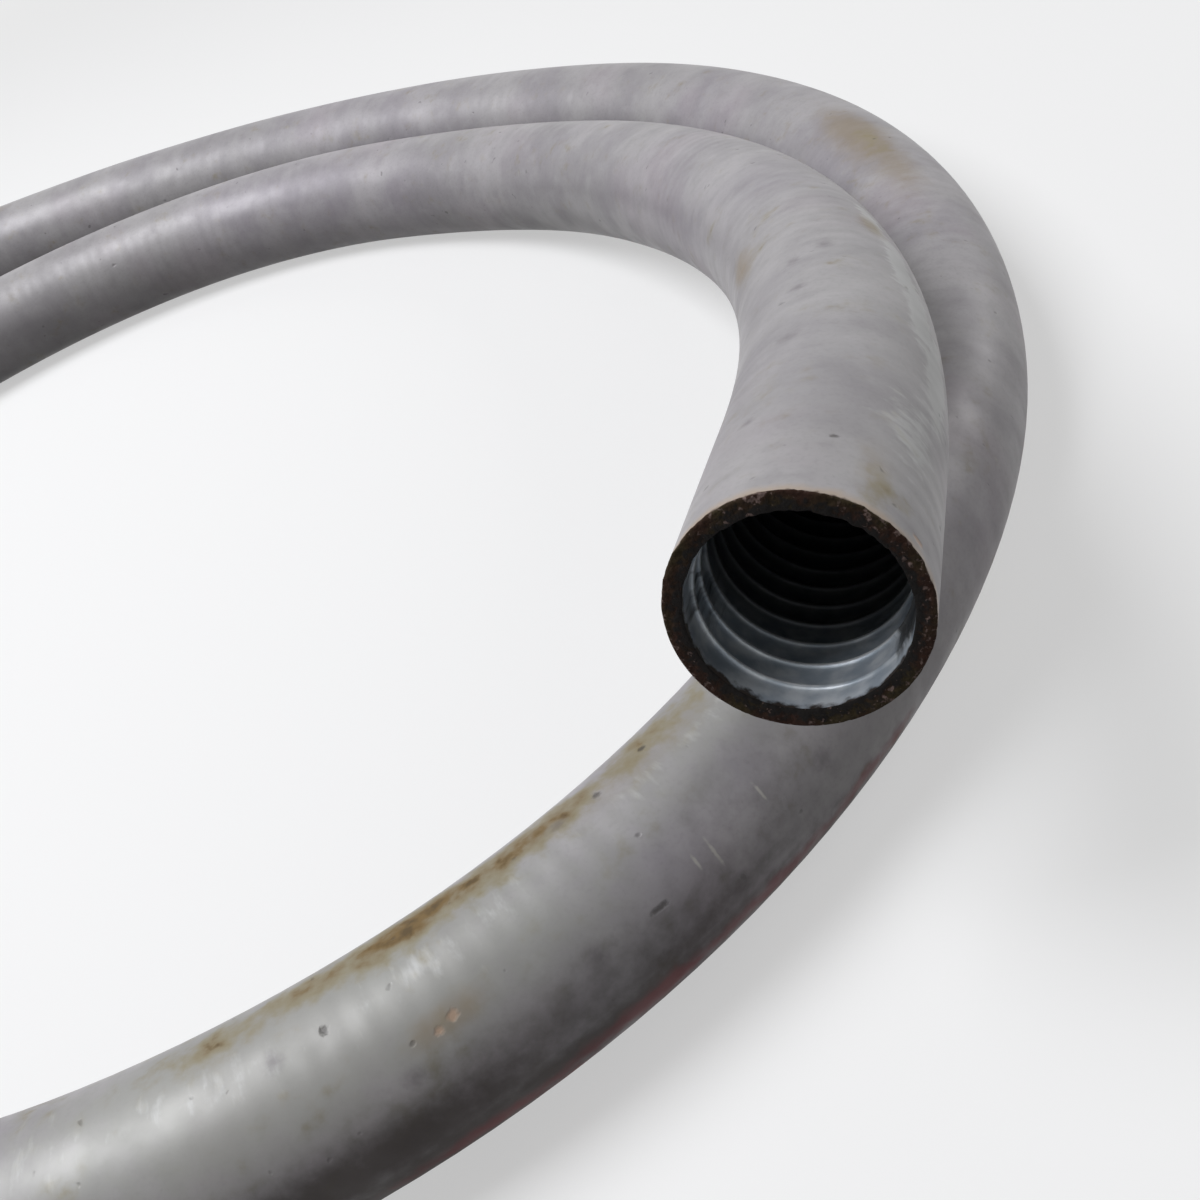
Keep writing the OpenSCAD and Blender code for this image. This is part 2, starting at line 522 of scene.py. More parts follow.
@dataclass(frozen=True)
class Wear:
    """The stains and marks of the pipe, some of the stains painted light and shade, and the slack
    in its hand-bent shape.
    """

    stains: tuple[StainPatch, ...] = (
        StainPatch(Stain.GREEN, 720, 92, 50, 50, 0.9),
        StainPatch(Stain.GREEN, 800, 80, 60, 60, 1.3),
        StainPatch(Stain.GREEN, 870, 70, 60, 60, 1.0),
        StainPatch(Stain.OCHRE, 712, 112, 12, 14, 0.6),
        StainPatch(Stain.OCHRE, 734, 108, 14, 15, 0.8),
        StainPatch(Stain.OCHRE, 756, 108, 14, 15, 1.1),
        StainPatch(Stain.OCHRE, 778, 109, 16, 15, 1.4),
        StainPatch(Stain.OCHRE, 796, 109, 10, 14, 1.0),
        StainPatch(Stain.OCHRE, 812, 105, 10, 13, 0.7),
        StainPatch(Stain.OCHRE, 842, 42, 9, 15, 1.0),
        StainPatch(Stain.OCHRE, 1993, 36, 5, 10, 0.6),
        StainPatch(Stain.TAN, 1989, 38, 8, 12, 0.7),
        StainPatch(Stain.TAN, 506, 88, 26, 26, 1.1),
        StainPatch(Stain.TAN, 532, 84, 20, 22, 0.8),
        StainPatch(Stain.OCHRE, 512, 87, 8, 10, 0.45),
        # A brown patch along the inner side of the mouth strand's tight bend, at its crease.
        StainPatch(Stain.TAN, 1880, 134, 10, 14, 0.9),
        StainPatch(Stain.TAN, 1884, 38, 8, 10, 1.0),
        StainPatch(Stain.TAN, 781, 49, 6, 10, 1.0),
        StainPatch(Stain.TAN, 735, 98, 26, 18, 0.6),
        StainPatch(Stain.SCUFF_AND_HIGHLIGHT, 735, 86, 24, 12, 0.65),
        StainPatch(Stain.SCUFF_AND_HIGHLIGHT, 775, 80, 22, 13, 0.8),
        StainPatch(Stain.SCUFF_AND_HIGHLIGHT, 812, 78, 22, 16, 0.8),
        StainPatch(Stain.SCUFF_AND_HIGHLIGHT, 845, 82, 16, 24, 0.55),
        # These five scuff patches paint a highlight along the mouth strand's right contour.
        StainPatch(Stain.SCUFF_AND_HIGHLIGHT, 1972, 18, 14, 20, 1.4),
        StainPatch(Stain.SCUFF_AND_HIGHLIGHT, 1878, 34, 14, 8, 2.0),
        StainPatch(Stain.SCUFF_AND_HIGHLIGHT, 1904, 27, 15, 9, 2.8),
        StainPatch(Stain.SCUFF_AND_HIGHLIGHT, 1926, 19, 14, 9, 3.0),
        StainPatch(Stain.SCUFF_AND_HIGHLIGHT, 1946, 6, 15, 11, 3.0),
        # These dark patches paint shade on the near strand's lower side and under the mouth strand.
        StainPatch(Stain.SOOT_AND_SHADE, 800, 4, 36, 22, 1.2),
        StainPatch(Stain.SOOT_AND_SHADE, 745, 2, 30, 16, 0.8),
        StainPatch(Stain.SOOT_AND_SHADE, 765, 14, 60, 26, 0.6),
        StainPatch(Stain.SOOT_AND_SHADE, 728, 36, 24, 26, 0.4),
        StainPatch(Stain.SOOT_AND_SHADE, 770, -13, 66, 15, 1.15),
        StainPatch(Stain.SOOT_AND_SHADE, 730, -26, 40, 22, 0.9),
        StainPatch(Stain.SOOT_AND_SHADE, 800, -28, 50, 24, 1.2),
        # These red patches paint the reflection of a red thing along the near strand's lower edge.
        StainPatch(Stain.RED, 705, -16, 14, 9, 1.0),
        StainPatch(Stain.RED, 730, -19, 18, 10, 1.2),
        StainPatch(Stain.RED, 755, -19, 18, 10, 1.2),
        StainPatch(Stain.RED, 782, -22, 18, 10, 1.0),
        # The last patch paints shade on the bore's far wall.
        StainPatch(Stain.BORE, 1993, -28, 5, 26, 1.5),
        StainPatch(Stain.BORE, 1975, -5, 22, 22, 1.0),
        StainPatch(Stain.BORE, 1990, 176, 12, 30, 0.55),
    )
    marks: tuple[Mark, ...] = (
        Mark(MarkKind.SMUDGE, 1903, 74, 1.6, 1.1),
        Mark(MarkKind.SMUDGE, 1907, 94, 1.3, 1.0),
        Mark(MarkKind.SMUDGE, 1923, 92, 1.2, 1.2),
        Mark(MarkKind.SMUDGE, 1946, 94, 1.2, 1.4),
        Mark(MarkKind.SMUDGE, 1975, 102, 0.9, 0.9),
        Mark(MarkKind.PIT, 1984, 58, 0.5, 0.6),
        Mark(MarkKind.PIT, 749, 28, 1.3, 0.5),
        Mark(MarkKind.SMUDGE, 716, 22, 1.4, 1.3),
        Mark(MarkKind.PIT, 796, 77, 0.6, 0.8),
        Mark(MarkKind.SMUDGE, 788, 34, 1.2, 1.0),
        Mark(MarkKind.SMUDGE, 760, 30, 1.1, 1.4),
        Mark(MarkKind.PIT, 733, 104, 0.7, 0.6),
        Mark(MarkKind.PIT, 744, 100, 0.8, 0.7),
        Mark(MarkKind.SMUDGE, 752, 102, 1.4, 0.9),
        Mark(MarkKind.SMUDGE, 804, 76, 1.1, 1.3),
        Mark(MarkKind.CHIP, 780, 49, 0.8, 0.7),
        Mark(MarkKind.CHIP, 782.5, 46, 0.7, 0.6),
        Mark(MarkKind.CHIP, 1997, 12, 0.6, 1.0),
        Mark(MarkKind.SCRATCH, 738, 31, 0.25, 2.0),
        Mark(MarkKind.SCRATCH, 741, 33, 0.25, 1.4),
        Mark(MarkKind.SCRATCH, 727, 36, 0.25, 1.6),
    )
    slack: float = 0.12 * MM
    slack_size: float = 55 * MM
    seed: int = 7
    # The stretches that weathered as the near one did, and the dirt where the pipe meets the
    # ground, on its outer and its inner side.
    scattered: tuple[ScatteredStains, ...] = (
        ScatteredStains(WEATHERED, 3, 10, 50, 100, 22),
        ScatteredStains(WEATHERED, 16, 880, 1240, 100, 24),
        ScatteredStains(GROUND_DIRT, 30, 0, 1420, -50, 14),
        ScatteredStains(GROUND_DIRT, 24, 0, 1420, 228, 14),
    )
    # The least and the most half length and half width of such a stain, and its strength.
    scattered_length: tuple[float, float] = (10, 26)
    scattered_width: tuple[float, float] = (10, 18)
    scattered_strength: float = 0.8

    def all_stains(self) -> list[StainPatch]:
        """Draws the scattered stains.

        Returns:
            The placed stains and the scattered ones.
        """
        draw = random.Random(self.seed)
        stains = list(self.stains)
        for group in self.scattered:
            for _ in range(group.count):
                kind = draw.choice(group.kinds)
                along = draw.uniform(group.start, group.end)
                round_ = draw.gauss(group.round, group.spread)
                extent = (draw.uniform(*self.scattered_length), draw.uniform(*self.scattered_width))
                patch = StainPatch(kind, along, round_, *extent, self.scattered_strength)
                stains.append(patch)
        return stains


@dataclass
class CoiledPipe:
    """The whole pipe: made straight, roughened, mapped, bent and dressed."""

    size: PipeSize
    route: Route
    wear: Wear
    finishes: dict[Surface, bpy.types.Material]
    name: str = "coiled_pipe"

    def build(self, low: Vector, high: Vector) -> bpy.types.Object:
        """Makes the pipe's object.

        Args:
            low: The lowest corner of the frame's pipe.
            high: Its highest corner.

        Returns:
            The object, with its place in its mesh.
        """
        straight = StraightPipe(self.size)
        bm = straight.build()
        self.tell_surfaces(bm, straight.cut)
        self.map_surfaces(bm)
        self.stain(bm)
        self.roughen(bm, straight.cut)
        self.bend(bm)
        self.settle(bm, low, high)
        mesh = bpy.data.meshes.new(self.name)
        bm.to_mesh(mesh)
        bm.free()
        for surface in Surface:
            mesh.materials.append(self.finishes[surface])
        pipe = bpy.data.objects.new(self.name, mesh)
        bpy.context.collection.objects.link(pipe)
        return pipe

    def behind_cut(self, along: float) -> float:
        """How far a place along the pipe lies behind the nearer cut."""
        return min(along, self.size.length - along)

    def tell_surfaces(self, bm: bmesh.types.BMesh, cut: SawCut) -> None:
        """Gives each face its material slot, and shades it smooth.

        Args:
            bm: The straight pipe.
            cut: Its saw cut.
        """
        middle = (self.size.skin_radius + self.size.bore_radius) / 2
        for face in bm.faces:
            centre = face.calc_center_median()
            is_skin = math.hypot(centre.y, centre.z) > middle
            surface = Surface.SKIN if is_skin else Surface.BORE
            if self.behind_cut(centre.x) < cut.lip + NEAR:
                surface = Surface.CUT
            face.material_index = surface.value
            face.smooth = True

    def map_surfaces(self, bm: bmesh.types.BMesh) -> None:
        """Maps each face: metres along the pipe, and metres round its skin from its underside.

        Args:
            bm: The straight pipe.
        """
        uv_layer = bm.loops.layers.uv.new(ROUTE_UV)
        for face in bm.faces:
            centre = face.calc_center_median()
            middle = self.turned(centre)
            for loop in face.loops:
                offset = self.turned(loop.vert.co) - middle
                offset -= math.tau * round(offset / math.tau)
                round_ = (middle + offset) * self.size.skin_radius
                loop[uv_layer].uv = (loop.vert.co.x, round_)

    @staticmethod
    def turned(co: Vector) -> float:
        """The angle round the pipe, from 0 at its underside, through its left side to a turn."""
        return (math.atan2(co.z, co.y) + math.pi / 2) % math.tau

    def stain(self, bm: bmesh.types.BMesh) -> None:
        """Paints the stains, and how deep each place lies in the wall, into attributes.

        Args:
            bm: The straight pipe.
        """
        depth = bm.verts.layers.float.new(WALL_DEPTH)
        for vert in bm.verts:
            from_skin = self.size.skin_radius - math.hypot(vert.co.y, vert.co.z)
            vert[depth] = from_skin / self.size.wall
        layers = {kind: bm.verts.layers.float.new(kind.value) for kind in Stain}
        patches = self.wear.all_stains()
        for vert in bm.verts:
            degrees = math.degrees(math.atan2(vert.co.z, vert.co.y))
            for patch in patches:
                ahead = (vert.co.x / MM - patch.along) / patch.length
                if abs(ahead) > patch.faded:
                    continue
                aside = ((degrees - patch.round + 180) % 360 - 180) / patch.width
                strength = patch.strength * math.exp(-(ahead**2) - aside**2)
                vert[layers[patch.kind]] = max(vert[layers[patch.kind]], strength)

    def roughen(self, bm: bmesh.types.BMesh, cut: SawCut) -> None:
        """Gives the skin its slack and the cuts their ragged lips.

        Args:
            bm: The straight pipe.
            cut: Its saw cut.
        """
        even_share, coarse_share, fine_share = cut.shares
        apart = Vector((9, 0, 0))
        for vert in bm.verts:
            x, y, z = vert.co
            behind = self.behind_cut(x)
            radial = Vector((0, y, z)).normalized()
            slack = noise.noise(vert.co / self.wear.slack_size) * self.wear.slack
            if behind < cut.depth:
                fade = math.exp(-behind / cut.fade) * (1 - behind / cut.depth)
                coarse = noise.noise(vert.co / cut.coarse_size)
                fine = noise.noise(vert.co / cut.fine_size + apart)
                bite = max(0.0, even_share + coarse_share * coarse + fine_share * fine)
                inward = 1 if x < self.size.length / 2 else -1
                vert.co.x += inward * bite * cut.raggedness * fade
                vert.co += radial * (coarse + fine) * cut.burr * fade
            vert.co += radial * slack

    def bend(self, bm: bmesh.types.BMesh) -> None:
        """Bends the straight pipe along its route.

        Args:
            bm: The straight pipe.
        """
        for vert in bm.verts:
            x, y, z = vert.co
            vert.co = self.route.place(x) @ Vector((0, y, z))

    def settle(self, bm: bmesh.types.BMesh, low: Vector, high: Vector) -> None:
        """Moves the bent pipe to the middle of the frame's box, standing on its floor.

        Args:
            bm: The bent pipe.
            low: The lowest corner of the frame's pipe.
            high: Its highest corner.
        """
        corners = [Vector(map(pick, *(vert.co for vert in bm.verts))) for pick in (min, max)]
        middle = (low + high) / 2 - (corners[0] + corners[1]) / 2
        middle.z = low.z + self.size.skin_radius
        bmesh.ops.translate(bm, verts=bm.verts, vec=middle)


# ---------------------------------------------------------------------------------------------
# Finishes

Socket = bpy.types.NodeSocket
# What goes into a node's input: a number, a vector, a hex colour or another node's output.
Source = float | str | tuple | Socket

# The settings of the nodes that most finishes share: a mix of two colours, and a smooth step.
COLOURS = {"data_type": "RGBA"}
SMOOTH = {"interpolation_type": "SMOOTHSTEP"}


def colour(code: str) -> tuple[float, float, float, float]:
    """Turns an sRGB hex code into the linear colour that a shader takes.

    Args:
        code: The colour as "#RRGGBB".

    Returns:
        The linear red, green and blue, and an alpha of 1.
    """
    channels = [int(code[at : at + 2], 16) / 255 for at in (1, 3, 5)]
    linear = [c / 12.92 if c <= 0.04045 else ((c + 0.055) / 1.055) ** 2.4 for c in channels]
    return (*linear, 1.0)


def per(size: float) -> float:
    """The scale of a pattern whose features are a given number of millimetres wide."""
    return 1 / (size * MM)


def add(
    tree: bpy.types.NodeTree,
    kind: str,
    inputs: Sequence[Source] | dict[str, Source] = (),
    output: str = "",
    **settings: str | bool,
) -> Socket | None:
    """Adds a shader node with its settings and links.

    Args:
        tree: The node tree to add it to.
        kind: The node's type, without its "ShaderNode" start.
        inputs: What goes into its inputs, in their order or by their names.
        output: The name of the output to give back, where it isn't the first one.
        **settings: The node's own properties.

    Returns:
        The node's output, or None from a node that has none.
    """
    node = tree.nodes.new("ShaderNode" + kind)
    for name, value in settings.items():
        setattr(node, name, value)
    in_use = [socket for socket in node.inputs if socket.enabled]
    pairs = inputs.items() if isinstance(inputs, dict) else enumerate(inputs)
    for key, source in pairs:
        socket = in_use[key] if isinstance(key, int) else node.inputs[key]
        if isinstance(source, Socket):
            tree.links.new(source, socket)
        else:
            socket.default_value = colour(source) if isinstance(source, str) else source
    if output:
        return node.outputs[output]
    return next((socket for socket in node.outputs if socket.enabled), None)


@dataclass(frozen=True)
class Pattern:
    """A cloudy pattern from 0 to 1: its features' size in millimetres and its finer layers.

    The draw tells apart two patterns of a size. One with a length follows the pipe: its features
    are that long along it, and their size is how wide they are round it.
    """

    size: float
    finer_layers: int
    draw: float
    length: float | None = None


@dataclass(frozen=True)
class Coat:
    """A colour that lies over another, more and more of it as a pattern runs from low to high."""

    pattern: str
    code: str
    low: float
    high: float
    most: float = 1.0


@dataclass
class Finish:
    """The base of each finish: a material with its patterns and coordinates ready."""

    specular: ClassVar[float] = 0.5
    # How strong each finer layer of a pattern that follows the pipe is, against the one before.
    fineness: ClassVar[float] = 0.55
    patterns: ClassVar[dict[str, Pattern]] = {}
    name: str
    roughness: float
    metallic: float
    # What the layers read: the patterns by their names, and how far each coat covers.
    seen: dict[str, Socket] = field(init=False, default_factory=dict)
    covers: dict[str, Socket] = field(init=False, default_factory=dict)

    def __post_init__(self) -> None:
        """Starts the material with the coordinates that it reads and its patterns."""
        self.material = bpy.data.materials.new(self.name)
        self.material.use_nodes = True
        self.material.node_tree.nodes.clear()
        self.node = partial(add, self.material.node_tree)
        place = self.node("TexCoord", output="Object")
        self.route = self.node("UVMap", uv_map=ROUTE_UV)
        self.along = self.node("SeparateXYZ", [self.route])
        for name, pattern in self.patterns.items():
            sockets = {"Vector": place, "Scale": per(pattern.size)}
            if pattern.length:
                shrink = (per(pattern.length), per(pattern.size), 1.0)
                spot = self.node("VectorMath", (self.route, shrink), operation="MULTIPLY")
                sockets = {"Vector": spot, "Scale": 1.0, "Roughness": self.fineness}
            sockets |= {"Detail": float(pattern.finer_layers), "W": pattern.draw}
            self.seen[name] = self.node("TexNoise", sockets, noise_dimensions="4D")

    def make(self) -> bpy.types.Material:
        """Finishes the material.

        Returns:
            The material.
        """
        tint, roughness, height = self.layers()
        relief = {"Height": height, "Strength": 1.0, "Distance": 1 * MM}
        looks = {
            "Base Color": tint,
            "Metallic": self.metallic,
            "Roughness": roughness,
            "Specular IOR Level": self.specular,
            "Normal": self.node("Bump", relief),
        }
        self.node("OutputMaterial", [self.node("BsdfPrincipled", looks)])
        return self.material

    def layers(self) -> tuple[Socket, Socket, Socket]:
        """The colour, the roughness and the height in millimetres of the finish."""
        raise NotImplementedError

    def coated(self, tint: Source, coats: tuple[Coat, ...]) -> Socket:
        """Lays coats over a colour, and keeps how far each one covers.

        Args:
            tint: The colour under them.
            coats: The coats, the lowest first.

        Returns:
            The colour with its coats.
        """
        for coat in coats:
            reach = (self.seen[coat.pattern], coat.low, coat.high, 0.0, coat.most)
            cover = self.node("MapRange", reach, **SMOOTH)
            tint = self.node("Mix", (cover, tint, coat.code), **COLOURS)
            self.covers[coat.pattern] = cover
        return tint

    def total(self, *parts: tuple[Socket, float], start: Source = 0.0) -> Source:
        """Adds up patterns.

        Args:
            *parts: Pairs of a pattern and how much of it counts.
            start: What they are added to.

        Returns:
            The sum.
        """
        for pattern, share in parts:
            start = self.node("Math", (pattern, share, start), operation="MULTIPLY_ADD")
        return start

    def behind_cut(self, length: float) -> Socket:
        """How far the surface lies behind the nearer cut.

        Args:
            length: The pipe's length.

        Returns:
            The distance in millimetres.
        """
        from_mouth = self.node("Math", (length, self.along), operation="SUBTRACT")
        nearer = self.node("Math", (self.along, from_mouth), operation="MINIMUM")
        return self.node("Math", (nearer, 1 / MM), operation="MULTIPLY")


@dataclass(frozen=True)
class StainLook:
    """How a stain looks: its colour, how broken up it is, how it covers the zinc and dulls it."""

    kind: Stain
    code: str
    breakup: float
    low: float
    high: float
    most: float
    dulls: float


@dataclass(frozen=True)
class MarkLook:
    """How a mark looks: its colour, how far it covers the skin, its depth and its soft edge."""

    kind: MarkKind
    code: str
    most: float
    depth: float
    edge: float


@dataclass
class AgedZincSkin(Finish):
    """Hot-dip zinc that weather has dulled: satin grey, cloudy, with faint bands across the pipe.

    Handling has scuffed it and rust grime lies along it, so it is duller where it is dirty. Some
    scuffs are a painted highlight along the mouth strand's right side, the dark film is painted
    shade on the near strand's lower side, and the red film there is a painted reflection. Its
    crystals have weathered away. The grain is coarser than the real one, so that it shows.
    """

    patterns: ClassVar[dict[str, Pattern]] = {
        "cloud": Pattern(26, 3, 0.0),
        "drift": Pattern(90, 2, 3.0),
        "blush": Pattern(34, 2, 8.0),
        "bands": Pattern(26, 2, 1.0, length=4.8),
        "mottle": Pattern(5, 4, 14.0),
        "grain": Pattern(0.8, 2, 5.0),
        "broken": Pattern(3.0, 5, 6.0),
        "blotch": Pattern(9, 4, 7.0),
        "dashes": Pattern(6, 4, 13.0, length=1.8),
        "crumbs": Pattern(1.2, 3, 9.0),
        "wander": Pattern(1.0, 3, 11.0),
        "peppering": Pattern(2.6, 1, 12.0),
        "sway": Pattern(40, 1, 2.0),
        "ripple_patches": Pattern(30, 1, 9.5, length=60),
        "handling": Pattern(9, 3, 4.0),
    }
    wear: Wear
    size: PipeSize
    bare: str = "#938E94"
    zinc: tuple[Coat, ...] = (
        Coat("cloud", "#AAA6A9", 0.35, 0.65),
        Coat("drift", "#93948D", 0.40, 0.60, 0.25),
        Coat("blush", "#9C9399", 0.50, 0.72, 0.60),
        Coat("bands", "#6E6C6C", 0.38, 0.68, 0.10),
        Coat("mottle", "#7A777A", 0.50, 0.70, 0.22),
        Coat("mottle", "#B8B5B8", 0.50, 0.30, 0.18),
        Coat("grain", "#706E6D", 0.45, 0.75, 0.16),
    )
    stain_looks: tuple[StainLook, ...] = (
        StainLook(Stain.GREEN, "#9B9C95", 0.8, 0.15, 1.10, 0.70, 0.0),
        # Scuffs, which also paint a highlight along the mouth strand's right side.
        StainLook(Stain.SCUFF_AND_HIGHLIGHT, "#C9CAC9", 2.8, 0.55, 1.55, 0.70, 0.4),
        StainLook(Stain.TAN, "#897A62", 0.5, 0.15, 1.00, 0.70, 0.6),
        StainLook(Stain.OCHRE, "#8B8163", 1.2, 0.10, 0.70, 0.80, 0.6),
        StainLook(Stain.OCHRE, "#6E5424", 1.5, 0.55, 1.25, 0.90, 1.0),
        StainLook(Stain.OCHRE, "#453518", 3.2, 1.15, 1.75, 0.75, 0.0),
        # Dark film, which also paints shade on the near strand's lower side.
        StainLook(Stain.SOOT_AND_SHADE, "#2A211C", 0.7, 0.13, 1.10, 0.90, 0.8),
        # Red rust film, which also paints a reflection along the near strand's lower edge.
        StainLook(Stain.RED, "#6E2E32", 0.8, 0.25, 1.10, 0.70, 0.8),
    )
    # The tan halo and the rust at a sawn lip, by the millimetres behind the cut.
    lip: tuple[Coat, ...] = (
        Coat("near_lip", "#B19B81", 4.2, 1.8, 0.7),
        Coat("lip", "#3A281D", 1.5, 0.9),
    )
    mark_looks: tuple[MarkLook, ...] = (
        MarkLook(MarkKind.SMUDGE, "#575055", 0.55, 0.0, 1.3),
        MarkLook(MarkKind.PIT, "#2E2A26", 0.75, 0.16, 0.6),
        MarkLook(MarkKind.CHIP, "#B59A84", 0.85, 0.10, 0.6),
        MarkLook(MarkKind.SCRATCH, "#C4C1BA", 0.70, 0.0, 0.6),
    )
    # How far a mark's outline wanders, and where its edge lies then, against its half size.
    mark_wander: float = 2.0
    mark_edge: float = 1.9
    # Where in its pattern the peppering of tiny pits sets in and is full, and how strong it is.
    peppering: tuple[float, float, float, float] = (0.72, 0.80, 0.0, 0.55)
    # How tall each pattern stands in the relief, in millimetres.
    relief: tuple[tuple[str, float], ...] = (
        ("ripples", 0.028),
        ("bands", 0.06),
        ("cloud", 0.08),
        ("grain", 0.008),
        ("dirt", 0.03),
    )
    # The faint ripples that the bending left across the pipe: their pitch in millimetres, how far
    # they sway, and where in its pattern a patch of them fades in.
    ripple_pitch: float = 4.8
    ripple_sway: float = 9.0
    ripple_patch: tuple[float, float, float, float] = (0.3, 0.7, 0.0, 1.0)
    # How much of the stains' unevenness the dashes of a scuff keep.
    uneven_dashes: float = 0.6
    # How far the edges of the tan halo and of the rust at a sawn lip wander, in millimetres.
    halo_wander: float = 3.0
    rust_wander: float = 1.6
    # Where in its pattern handling sets in and is full, how much the roughness falls and rises
    # with it, and how much it rises with dirt.
    handled: tuple[float, float] = (0.3, 0.7)
    rubbed: float = 0.06
    dulled: float = 0.08
    dirt_dulls: float = 0.25

    def layers(self) -> tuple[Socket, Socket, Socket]:
        """Clouds, bands, stains and marks, from the bottom up.

        Returns:
            The colour, the roughness and the height in millimetres.
        """
        tint = self.stained(self.coated(self.bare, self.zinc))
        tint, dents = self.marked(tint)
        self.seen["ripples"] = self.ripples()
        relief = [(self.seen[name], height) for name, height in self.relief]
        rough = (self.roughness - self.rubbed, self.roughness + self.dulled)
        rough = self.node("MapRange", (self.seen["handling"], *self.handled, *rough), **SMOOTH)
        rough = self.total((self.seen["dirt"], self.dirt_dulls), start=rough)
        return tint, rough, self.total(*relief, *dents)

    def ripples(self) -> Socket:
        """Makes swaying ripples across the pipe, which come and go.

        Returns:
            Their pattern, from -1 to 1.
        """
        phase = (self.along, math.tau / (self.ripple_pitch * MM))
        phase = self.total(phase, (self.seen["sway"], self.ripple_sway))
        wave = self.node("Math", [phase], operation="SINE")
        patches = (self.seen["ripple_patches"], *self.ripple_patch)
        patches = self.node("MapRange", patches, **SMOOTH)
        return self.node("Math", (wave, patches), operation="MULTIPLY")

    def stained(self, tint: Socket) -> Socket:
        """Lays the stains and the rusty lip over a colour, and keeps how dirty the surface is.

        Args:
            tint: The colour under them.

        Returns:
            The stained colour.
        """
        seen = self.seen
        # A pattern lies about a half, so these lie about nought.
        uneven = self.total((seen["broken"], 1.0), (seen["blotch"], 1.0), start=-1.0)
        streaks = self.total((uneven, self.uneven_dashes), (seen["dashes"], 1.0), start=-0.5)
        dirt = 0.0
        for look in self.stain_looks:
            painted = self.node("Attribute", output="Fac", attribute_name=look.kind.value)
            pattern = streaks if look.kind is Stain.SCUFF_AND_HIGHLIGHT else uneven
            film = self.total((pattern, look.breakup), start=painted)
            film = self.node("MapRange", (film, look.low, look.high, 0.0, look.most), **SMOOTH)
            tint = self.node("Mix", (film, tint, look.code), **COLOURS)
            if look.dulls:
                dull = self.node("Math", (film, look.dulls), operation="MULTIPLY")
                dirt = self.node("Math", (dirt, dull), operation="MAXIMUM")
        behind = self.behind_cut(self.size.length)
        seen["near_lip"] = self.total((seen["broken"], self.halo_wander), start=behind)
        seen["lip"] = self.total((seen["crumbs"], self.rust_wander), start=behind)
        tint = self.coated(tint, self.lip)
        seen["dirt"] = self.node("Math", (dirt, self.covers["lip"]), operation="MAXIMUM")
        return tint

    def marked(self, tint: Socket) -> tuple[Socket, list[tuple[Socket, float]]]:
        """Lays the small marks over a colour.

        Args:
            tint: The colour under them.

        Returns:
            The colour, and pairs of a pattern of dents and its height in millimetres.
        """
        dents = []
        for look in self.mark_looks:
            inside = 0.0
            if look.kind is MarkKind.PIT:
                peppering = (self.seen["peppering"], *self.peppering)
                inside = self.node("MapRange", peppering, **SMOOTH)
            for mark in self.wear.marks:
                if mark.kind is look.kind:
                    shape = self.mark_shape(mark, look.edge)
                    inside = self.node("Math", (inside, shape), operation="MAXIMUM")
            cover = self.node("Math", (inside, look.most), operation="MULTIPLY")
            tint = self.node("Mix", (cover, tint, look.code), **COLOURS)
            if look.depth:
                dents.append((inside, -look.depth))
        return tint, dents

    def mark_shape(self, mark: Mark, edge: float) -> Socket:
        """Draws one ragged mark.

        Args:
            mark: The mark.
            edge: How soft its edge is, against its half size.

        Returns:
            Its pattern, 1 inside and 0 outside.
        """
        turned = math.radians(mark.round + 90) % math.tau
        middle = (mark.along * MM, turned * self.size.skin_radius, 0)
        shrink = (per(mark.length), per(mark.width), 0)
        away = self.node("VectorMath", (self.route, middle), operation="SUBTRACT")
        away = self.node("VectorMath", (away, shrink), operation="MULTIPLY")
        away = self.node("VectorMath", [away], operation="LENGTH")
        ragged = self.total((self.seen["wander"], self.mark_wander), start=away)
        reach = (ragged, self.mark_edge - edge, self.mark_edge + edge, 1.0, 0.0)
        return self.node("MapRange", reach, **SMOOTH)


